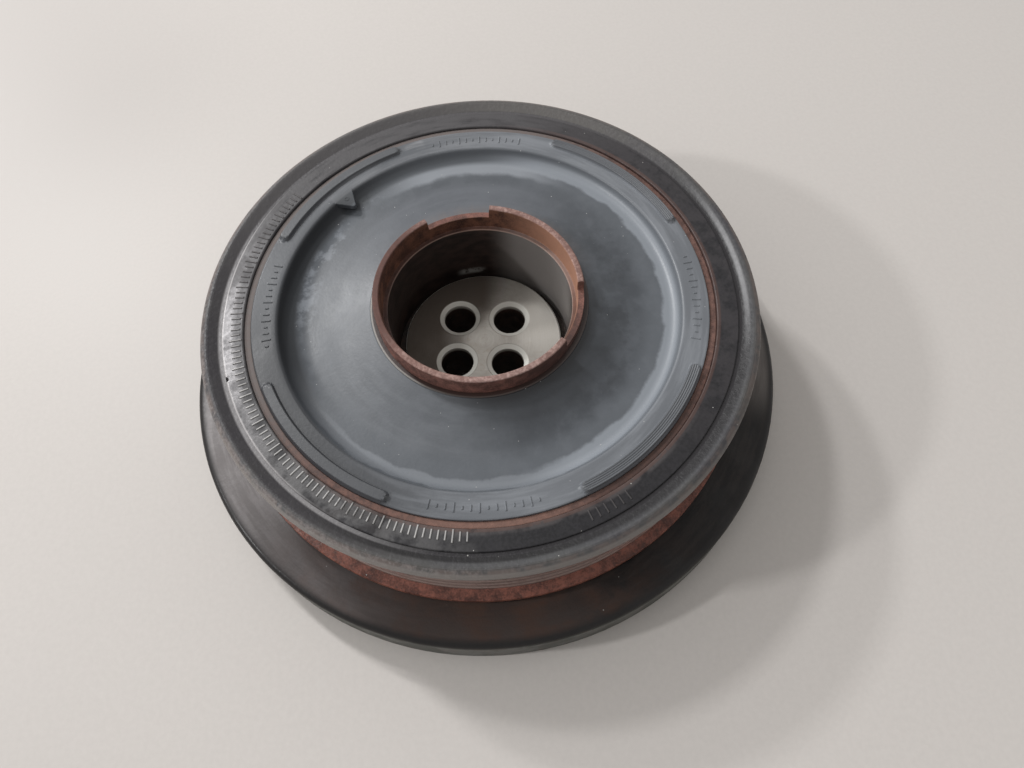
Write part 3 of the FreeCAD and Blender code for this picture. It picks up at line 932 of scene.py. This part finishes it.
# %% Belt rim finish
radius, height = start_finish("worn_rim_steel", 0.35)
fine = blotch(1.2, 0.45, 2.0, 0.12)
lip_edge = band(radius, lip_r - 1.7, lip_r + 1, 0.6)
slope = band(radius, lip_inner_r, lip_inner_r + lip_slope_width, 0.6)
lip_foot_shade = band(radius, lip_inner_r - 1.5, lip_inner_r + 1.8, 0.5)
wide_lip_foot_shade = band(radius, lip_inner_r, lip_inner_r + 2.6, 0.6)
painted_glint = band(radius, lip_inner_r + 0.8, lip_inner_r + 2.2, 0.45)
lip_wall = both(ramp(radius, lip_r - 1.5, lip_r - 0.5),
                ramp(height, lip_top_z - 0.2, lip_top_z - 0.9))
paint = cover(
    mix_colours(blotch(14.0, 0.5, 1.0, 0.12), (0.05, 0.048, 0.054), (0.072, 0.07, 0.068)),
    (streak(3.0, 1.6, 0.4, 3.0, 0.14), 0.4, (0.095, 0.092, 0.094)),
    (fine, 0.25, (0.13, 0.124, 0.124)),
    (side(95, 50, 25), 0.6, (0.15, 0.14, 0.132)),
    # painted shade: the inner slope is darker on the left, where it faces away from the lamps
    (slope, side(172, 75, 20), 0.75, (0.03, 0.027, 0.031)),
    (side(130, 32, 20), 0.5, (0.12, 0.114, 0.116)),
    # painted light: the inner slope is a little lighter and bluer on the right, where it faces the
    # lamps
    (slope, side(320, 60, 20), 0.5, (0.072, 0.075, 0.082)),
    # painted shade at the foot of the lip's inner slope on the right, in two widths
    (lip_foot_shade, side(312, 76, 14), 0.9, (0.01, 0.009, 0.01)),
    (wide_lip_foot_shade, side(335, 45, 18), 0.8, (0.014, 0.013, 0.015)),
    # painted highlight: a light line along the lip's inner slope on the right
    (painted_glint, side(4, 16, 14), 0.8, (0.3, 0.3, 0.31)),
    (lip_edge, blotch(5.0, 0.55, 4.0), 0.7, (0.15, 0.118, 0.106)),
    (lip_edge, fine, side(200, 65, 25), 0.7, (0.24, 0.215, 0.21)),
    (lip_wall, side(262, 55, 20), 0.7, (0.27, 0.25, 0.238)))
rusted = use(rust, 4.0, (0.075, 0.028, 0.021), (0.3, 0.112, 0.079), 1.0)
bare = cover(
    mix_colours(ramp(radius, rib_r - 1.0, rib_r - 0.1), (0.095, 0.056, 0.046), (0.27, 0.2, 0.18)),
    (streak(1.2, 5.0, 0.5, 6.0, 0.25), 0.4, (0.22, 0.16, 0.14)),
    (streak(6.0, 0.3, 0.4, 7.0), 0.4, rusted["Color"]))
belt_seat = both(band(height, first_land_z + 0.4, belt_top_z + 0.5, 0.3),
                 ramp(radius, front_bore_r + 1, groove_r - 0.3))
back = ramp(height, first_land_z + 0.6, first_land_z - 0.1)
inside = both(ramp(radius, lip_inner_r - 0.2, lip_inner_r - 0.8),
              ramp(height, flange_seat_z + 0.3, flange_seat_z - 0.3))
channel = ramp(radius, lip_inner_r + 0.5, lip_inner_r - 0.1)
finish(belt_rim, roughness=ramp(fine, 0, 1, 0.4, 0.58), metallic=both(belt_seat, 0.45),
       bump=work_out("MULTIPLY_ADD", rusted["Height"], 0.5, both(fine, 0.5)), depth=0.08,
       colour=cover(paint,
                    (channel, 0.8, (0.022, 0.02, 0.023)),
                    (channel, side(110, 60, 20), 0.5, (0.13, 0.124, 0.13)),
                    (channel, side(202, 42, 16), 0.8, (0.27, 0.26, 0.265)),
                    (belt_seat, bare),
                    (back, rusted["Color"]),
                    (inside, 0.9, (0.06, 0.045, 0.04)),
                    (speck(2.6, 0.1, 0.22), (0.4, 0.39, 0.37))))

# %% [markdown]
# ### Front flange paint
# The flange is black, with a purple cast, and its left side has been rubbed to silver. That
# silver is partly a painted reflection of a lamp, and a painted highlight runs along the outer
# edge there. Its raised scale could have a finish of its own. It shares this one, so that wear
# runs on across it, and height above the flange makes the ticks brighter.

# %% Front flange finish
radius, height = start_finish("rubbed_black_flange", 0.35)
fine = blotch(1.0, 0.5, 11.0, 0.12)
patches = blotch(6.0, 0.55, 12.0, 0.1)
# rubbed silver on the left, partly a painted reflection of a lamp
rubbed_and_glare = both(side(186, 22, 22), ramp(fine, 0, 1, 0.75, 1.0), ramp(patches, 0, 1, 0.6, 1.0),
              ramp(radius, 73.6, 75.8, 0.3, 1.0))
dusty = both(side(120, 62, 28), streak(7.0, 0.5, 0.7, 13.0, 0.2), 0.75)
foot_dust = both(band(radius, 71.8, 73.8, 0.5), side(283, 34, 14), patches)
rusty_edge = both(band(radius, outer_ring_r - 1, outer_ring_r + 1.1, 0.3), side(325, 100, 20),
                  blotch(1.6, 0.7, 15.0, 0.1))
above = ramp(height, flange_top_z + 0.05, flange_top_z + 0.2)
edge_highlight = band(radius, flange_r - 0.5, flange_r + 0.3, 0.25)
stains = both(side(237, 9, 4), blotch(3.0, 0.5, 14.0))
colour = cover(
    mix_colours(fine, (0.011, 0.0105, 0.0125), (0.02, 0.019, 0.022)),
    (dusty, (0.105, 0.1, 0.104)),
    (side(20, 60, 25), patches, 0.45, (0.062, 0.056, 0.06)),
    (side(232, 26, 16), patches, 0.6, (0.17, 0.166, 0.168)),
    (rubbed_and_glare, (0.27, 0.262, 0.268)),
    (foot_dust, 0.5, (0.11, 0.098, 0.098)),
    (rusty_edge, 0.4, (0.14, 0.072, 0.055)),
    (above, 0.5, (0.1, 0.09, 0.09)),
    (above, side(228, 40, 22), (0.5, 0.49, 0.48)),
    # painted highlight along the flange's outer edge on the left
    (edge_highlight, side(188, 34, 20), 0.8, (0.5, 0.48, 0.48)),
    (stains, 0.5, (0.022, 0.018, 0.018)),
    (speck(2.2, 0.09, 0.3), (0.46, 0.45, 0.43)))
finish(front_flange, flange_scale, colour=colour, metallic=both(rubbed_and_glare, 0.35),
       roughness=ramp(patches, 0, 1, 0.5, 0.4), bump=fine, depth=0.015)

# %% [markdown]
# ### Rusty ring
# The thin ring between flange and rubber has rusted right round. It is orange on the near and
# right side, and grey with dust on the far left, with a painted shade on the near right where it
# meets the rubber. One brown would look flat on so thin a line, so the rust group gives its colour
# and grain, and a few sectors shift it.

# %% Rusty ring finish
start_finish("rusty_ring_steel")
rusted = use(rust, 1.8, (0.07, 0.034, 0.027), (0.195, 0.105, 0.084), 2.0)
colour = cover(
    rusted["Color"],
    (side(135, 80, 22), 0.8, (0.16, 0.145, 0.14)),
    (side(266, 16, 12), 0.4, (0.3, 0.165, 0.125)),
    # painted shade: a darker sector on the near right, at the gap by the rubber
    (side(306, 18, 10), 0.6, (0.05, 0.03, 0.026)))
finish(rusty_ring, colour=colour, roughness=ramp(rusted["Height"], 0.3, 0.7, 0.6, 0.85),
       bump=rusted["Height"], depth=0.12)

# %% [markdown]
# ### Spring rubber
# The moulded rubber is dark blue-grey with a satin skin. A chalky bloom has come out in the
# valley, mostly on the right, with a wavy edge towards the dome. On the left the valley is matt
# and carries a painted shadow of the land's edge, and the collar's edge has gone pale. A painted
# shadow of the sleeve darkens the dome on the near right, and light smudges on the left also
# stand in for a sheen there. A painted mask could hold the bloom, but bands and sectors say
# where it is in numbers.

# %% Spring rubber finish
radius, height = start_finish("bloomed_rubber", 0.45)
fine = blotch(0.9, 0.5, 21.0, 0.2)
cloud = blotch(19.0, 0.5, 22.0, 0.2)
outward = streak(20.0, 0.05, 0.5, 23.0, 0.25)
brushed = streak(2.5, 0.35, 0.45, 28.0, 0.2)
wavy = work_out("MULTIPLY_ADD", blotch(8.0, 0.5, 25.0, 0.3), 1.8, radius)
outer_dust = both(ramp(radius, 47.5, 54.5), work_out("SUBTRACT", 1.0, side(180, 34, 18)))
mottle = both(blotch(5.0, 0.45, 29.0, 0.15), ramp(radius, 58.0, 55.0))
far_dust = both(side(98, 46, 26), ramp(brushed, 0, 1, 0.7, 1.0), ramp(radius, 52.0, 46.0))
# light smudges on the dome's left, which also stand in for a painted sheen
left_dust_and_sheen = both(side(205, 60, 30), ramp(radius, 55.0, 49.0), ramp(brushed, 0, 1, 0.6, 1.0))
# painted shadow of the sleeve on the dome, on the near right
painted_sleeve_shadow = both(side(308, 40, 20), ramp(radius, 51.0, 39.0))
smudges = both(blotch(8.0, 0.42, 26.0, 0.1), side(330, 36, 20), band(radius, 36.0, 50.0, 3.0))
# painted shadow of the land's edge on the valley, on the left
painted_valley_shadow = both(side(164, 40, 16), band(radius, 56.4, 62.5, 1.6))
matt = both(side(168, 36, 14), band(radius, 54.0, 62.0, 2.0))
patchy = both(blotch(6.0, 0.42, 27.0, 0.06), side(152, 30, 8), band(radius, 51.0, 56.5, 1.5))
land = ramp(radius, land_inner_r - 0.4, land_inner_r + 0.5)
land_dust = both(land, side(345, 100, 30), ramp(brushed, 0, 1, 0.4, 1.0))
shoulder = both(band(radius, land_inner_r - 0.6, land_inner_r + 0.9, 0.4), side(350, 60, 25))
pads = ramp(height, flange_top_z + 0.3, flange_top_z + 0.8)
near_bloom = both(band(wavy, 58.1, 61.8, 0.5), side(258, 38, 16))
right_bloom = both(ramp(wavy, 56.4, 57.8), ramp(radius, 61.6, 60.2), side(0, 76, 12))
far_bloom = both(ramp(wavy, 53.0, 55.4), ramp(radius, 59.2, 56.6), side(88, 26, 12))
scuffs = both(band(radius, 65.5, 69.3, 0.3), side(104.3, 2.8, 0.7))
sleeve_dust = both(ramp(radius, collar_r + 6.5, collar_r + 0.5), side(75, 45, 30), outward)
# painted shadow of the sleeve, close to the collar on the near right
painted_sleeve_shadow_close = both(side(305, 44, 18), ramp(radius, collar_r + 4.0, collar_r))
collar = both(ramp(radius, collar_r + 0.15, collar_r - 0.1),
              ramp(height, collar_ledge_z + 0.1, collar_top_z - 0.1))
collar_edge = ramp(radius, collar_r - 0.65, collar_r - 0.4)
colour = cover(
    mix_colours(cloud, (0.052, 0.058, 0.068), (0.074, 0.082, 0.094)),
    (outward, 0.15, (0.095, 0.102, 0.112)),
    (outer_dust, 0.85, (0.11, 0.121, 0.136)),
    (mottle, 0.3, (0.15, 0.162, 0.182)),
    (far_dust, 0.9, (0.13, 0.14, 0.158)),
    (left_dust_and_sheen, 0.75, (0.155, 0.166, 0.182)),
    (painted_sleeve_shadow, 0.75, (0.026, 0.029, 0.034)),
    (smudges, 0.6, (0.028, 0.031, 0.036)),
    (painted_valley_shadow, 0.85, (0.014, 0.016, 0.019)),
    (patchy, 0.5, (0.25, 0.27, 0.3)),
    (land, 0.3, (0.078, 0.08, 0.088)),
    (land, side(218, 38, 14), 0.9, (0.03, 0.032, 0.037)),
    (land, side(105, 30, 18), brushed, 0.7, (0.24, 0.245, 0.26)),
    (land_dust, 0.8, (0.25, 0.265, 0.29)),
    (shoulder, 0.2, (0.2, 0.215, 0.24)),
    (pads, 0.6, (0.075, 0.078, 0.085)),
    (near_bloom, 0.42, (0.3, 0.32, 0.35)),
    (right_bloom, 0.72, (0.3, 0.325, 0.36)),
    (far_bloom, 0.8, (0.3, 0.32, 0.35)),
    (scuffs, brushed, 0.8, (0.36, 0.36, 0.37)),
    (sleeve_dust, 0.45, (0.235, 0.165, 0.125)),
    (painted_sleeve_shadow_close, 0.8, (0.01, 0.01, 0.012)),
    (collar, (0.036, 0.019, 0.016)),
    (collar, collar_edge, ramp(side(185, 50, 34), 0, 1, 0.08, 0.9), (0.3, 0.285, 0.265)),
    (speck(2.1, 0.1, 0.28), (0.44, 0.44, 0.44)))
finish(rubber_spring, land_marks, colour=colour,
       roughness=work_out("MULTIPLY_ADD", matt, 0.42, ramp(cloud, 0, 1, 0.36, 0.44)),
       bump=work_out("MULTIPLY_ADD", outward, 0.3, fine), depth=0.012)

# %% [markdown]
# ### Sleeve steel
# The sleeve is bare steel that has rusted. Its rim is rubbed to a pinkish brown, the cap seat
# inside is orange, and the wall below is nearly black and smooth. Painted light brightens the
# seat and the wall on the right, a painted highlight runs along the ledge at the seat's foot, and
# painted shade darkens the outside on the near right. Each zone could be a selection of faces
# with its own material. All of them are turned, so height and radius mask them here.

# %% Sleeve finish
radius, height = start_finish("rusty_sleeve_steel")
outside = use(rust, 2.6, (0.07, 0.03, 0.024), (0.27, 0.118, 0.092), 3.0)
seat_rust = use(rust, 3.2, (0.046, 0.017, 0.011), (0.185, 0.078, 0.046), 4.0)
smear = streak(5.0, 0.35, 0.5, 31.0, 0.15)
rim = band(height, notch_z - 0.3, sleeve_top_z + 1, 0.3)
top = ramp(height, sleeve_top_z - 0.45, sleeve_top_z - 0.1)
inner = ramp(radius, cap_seat_r + 0.35, cap_seat_r + 0.05)
below = ramp(height, cap_seat_z + 0.2, cap_seat_z - 0.2)
splash = both(side(93, 8, 4), band(height, 21.0, 23.6, 0.9), blotch(3.0, 0.6, 32.0))
ledge_highlight = both(band(radius, well_r - 0.1, well_r + 0.3, 0.1),
             band(height, cap_seat_z - 0.3, cap_seat_z + 0.1, 0.1))
wall = cover(
    mix_colours(smear, (0.017, 0.011, 0.01), (0.05, 0.032, 0.027)),
    (splash, 0.8, (0.42, 0.42, 0.4)),
    # painted light on the well's wall on the right, where it faces the lamps
    (side(36, 34, 12), 0.9, (0.24, 0.222, 0.212)))
worn = cover(
    mix_colours(smear, (0.3, 0.185, 0.158), (0.46, 0.31, 0.275)),
    (side(280, 20, 14), 0.6, (0.52, 0.37, 0.34)),
    (side(168, 44, 16), 0.9, (0.055, 0.022, 0.017)),
    (blotch(0.8, 0.55, 33.0, 0.1), 0.6, (0.13, 0.06, 0.048)))
# painted light on the cap seat's right side, where it faces the lamps
seat_with_painted_light = cover(seat_rust["Color"], (side(15, 40, 22), 0.75, (0.52, 0.27, 0.178)))
colour = cover(
    outside["Color"],
    (rim, 0.15, (0.16, 0.08, 0.06)),
    # painted shade on the outside, on the near right, which faces away from the lamps
    (side(312, 24, 14), 0.7, (0.04, 0.019, 0.015)),
    (inner, work_out("SUBTRACT", 1.0, below), seat_with_painted_light),
    (top, 0.85, worn),
    (inner, below, wall),
    # painted highlight along the ledge at the cap seat's foot
    (ledge_highlight, side(70, 95, 25), 0.5, (0.38, 0.25, 0.2)))
finish(notched_sleeve, colour=colour, metallic=both(top, 0.15),
       roughness=ramp(both(inner, below), 0, 1, 0.72, 0.4), bump=outside["Height"], depth=0.1)

# %% [markdown]
# ### Hub steel
# The boss was faced on a lathe, and its warm grey still shows the fine rings. Painted light
# brightens its right side, and a painted shadow of the sleeve darkens its far left. The rest of the
# forging is darker, with some rust. Rings this fine would need too many faces, so they are bump.

# %% Hub finish
radius, height = start_finish("faced_hub_steel")
rings = streak(0.6, 3.2, 0.5, 41.0, 0.2)
cloud = blotch(7.0, 0.5, 42.0, 0.15)
pits = blotch(1.3, 0.35, 43.0, 0.08)
countersinks = ramp(height, boss_top_z - 0.05, boss_top_z - 0.2)
hidden = ramp(height, boss_top_z - 1.4, boss_top_z - 3.0)
forging = use(rust, 5.0, (0.01, 0.007, 0.006), (0.06, 0.034, 0.024), 5.0)
machined_back = mix_colours(rings, (0.23, 0.215, 0.2), (0.31, 0.295, 0.28))
colour = cover(
    mix_colours(rings, (0.36, 0.338, 0.308), (0.42, 0.398, 0.366)),
    (cloud, 0.6, (0.285, 0.258, 0.225)),
    (pits, 0.5, (0.3, 0.26, 0.22)),
    # painted light on the boss's right side
    (side(12, 30, 20), ramp(radius, 8.0, 15.0), 0.7, (0.58, 0.555, 0.51)),
    # painted shadow of the sleeve on the boss's far left
    (side(146, 74, 15), ramp(radius, 3.0, 15.0), 0.92, (0.068, 0.05, 0.038)),
    (countersinks, (0.66, 0.645, 0.595)),
    (hidden, forging["Color"]),
    (ramp(height, 1.2, 0.4), 0.8, machined_back),
    (speck(2.8, 0.12, 0.25), (0.6, 0.58, 0.55)))
finish(hub_forging, colour=colour, roughness=ramp(cloud, 0, 1, 0.42, 0.52),
       metallic=ramp(height, boss_top_z - 0.3, boss_top_z, 0.1, 0.4),
       bump=work_out("MULTIPLY_ADD", pits, -0.5, rings), depth=0.012)

# %% [markdown]
# ### Inertia ring paint
# The heavy ring under the belt rim wears satin black paint with brown stains on its face. Its
# side wall is greyer, with a greenish cast. A painted sheen lies on the face on the left, and
# painted light on the face and the wall on the right. The imported node's shape is right, so it
# stays.

# %% Inertia ring finish
radius, height = start_finish("satin_black_iron", 0.3)
orange_peel = blotch(1.4, 0.5, 51.0, 0.3)
stain = blotch(13.0, 0.48, 52.0, 0.12)
face = both(ramp(height, inertia_top_z - 1.5, inertia_top_z - 0.2),
            ramp(radius, inertia_r - 1.0, inertia_r - 3.5))
wall = both(ramp(radius, inertia_r - 0.5, inertia_r - 0.05),
            ramp(height, inertia_top_z - 0.6, inertia_top_z - 2.2))
colour = cover(
    mix_colours(orange_peel, (0.0065, 0.0052, 0.0055), (0.0105, 0.0088, 0.009)),
    (face, side(258, 26, 12), 0.8, (0.07, 0.05, 0.044)),
    # painted sheen on the face, on the near left
    (face, side(228, 16, 12), 0.75, (0.13, 0.116, 0.116)),
    (stain, face, side(262, 32, 18), 0.75, (0.075, 0.038, 0.026)),
    # painted light on the face, on the right
    (face, side(352, 10, 7), 0.85, (0.22, 0.2, 0.188)),
    # painted sheen on the face, on the left
    (face, side(196, 18, 12), 0.85, (0.3, 0.28, 0.28)),
    (streak(5.0, 0.4, 0.5, 53.0), face, 0.35, (0.045, 0.036, 0.033)),
    (wall, 0.7, (0.08, 0.084, 0.072)),
    # painted light on the side wall, on the right
    (wall, side(352, 14, 10), 0.7, (0.3, 0.28, 0.27)),
    (wall, blotch(4.0, 0.35, 54.0), 0.6, (0.06, 0.038, 0.028)),
    (speck(3.2, 0.09, 0.25), (0.28, 0.27, 0.26)))
finish("inertia_ring", colour=colour, roughness=ramp(stain, 0, 1, 0.34, 0.5),
       bump=orange_peel, depth=0.03)

# %% [markdown]
# ### Inner rings
# Rubber, plastic and steel rings sit inside and show only from the back or in the gaps. They
# share one recipe, a base tone with blotches, streaks and a bump, each with its own values.

# %% Inner ring finishes
for name, dark, light, size, rough, metallic, depth, seed, targets in (
        ("damper_ring_rubber", (0.016, 0.016, 0.017), (0.034, 0.033, 0.034), 2.0, 0.62, 0.0, 0.05,
         61.0, ["damper_rubber"]),
        ("lip_seal_rubber", (0.018, 0.017, 0.016), (0.04, 0.038, 0.036), 1.5, 0.58, 0.0, 0.05,
         63.0, ["dust_seal"]),
        ("ground_bearing_steel", (0.26, 0.25, 0.24), (0.38, 0.37, 0.36), 3.0, 0.36, 0.85, 0.02,
         65.0, ["bearing_carrier", "stop_ring"]),
        ("slide_ring_plastic", (0.11, 0.088, 0.058), (0.15, 0.122, 0.085), 2.2, 0.45, 0.0, 0.05,
         67.0, ["bearing_bush", "rear_thrust_ring", "front_thrust_ring"])):
    start_finish(name)
    grain = blotch(size, 0.5, seed, 0.2)
    lines = streak(3.0, 2.5, 0.5, seed + 1, 0.2)
    finish(*targets, metallic=metallic, roughness=ramp(grain, 0, 1, rough - 0.06, rough + 0.06),
           bump=work_out("MULTIPLY_ADD", lines, 0.5, grain), depth=depth,
           colour=cover(mix_colours(grain, dark, light), (lines, 0.3, light),
                        (speck(2.5, 0.1, 0.2), (0.3, 0.29, 0.28))))
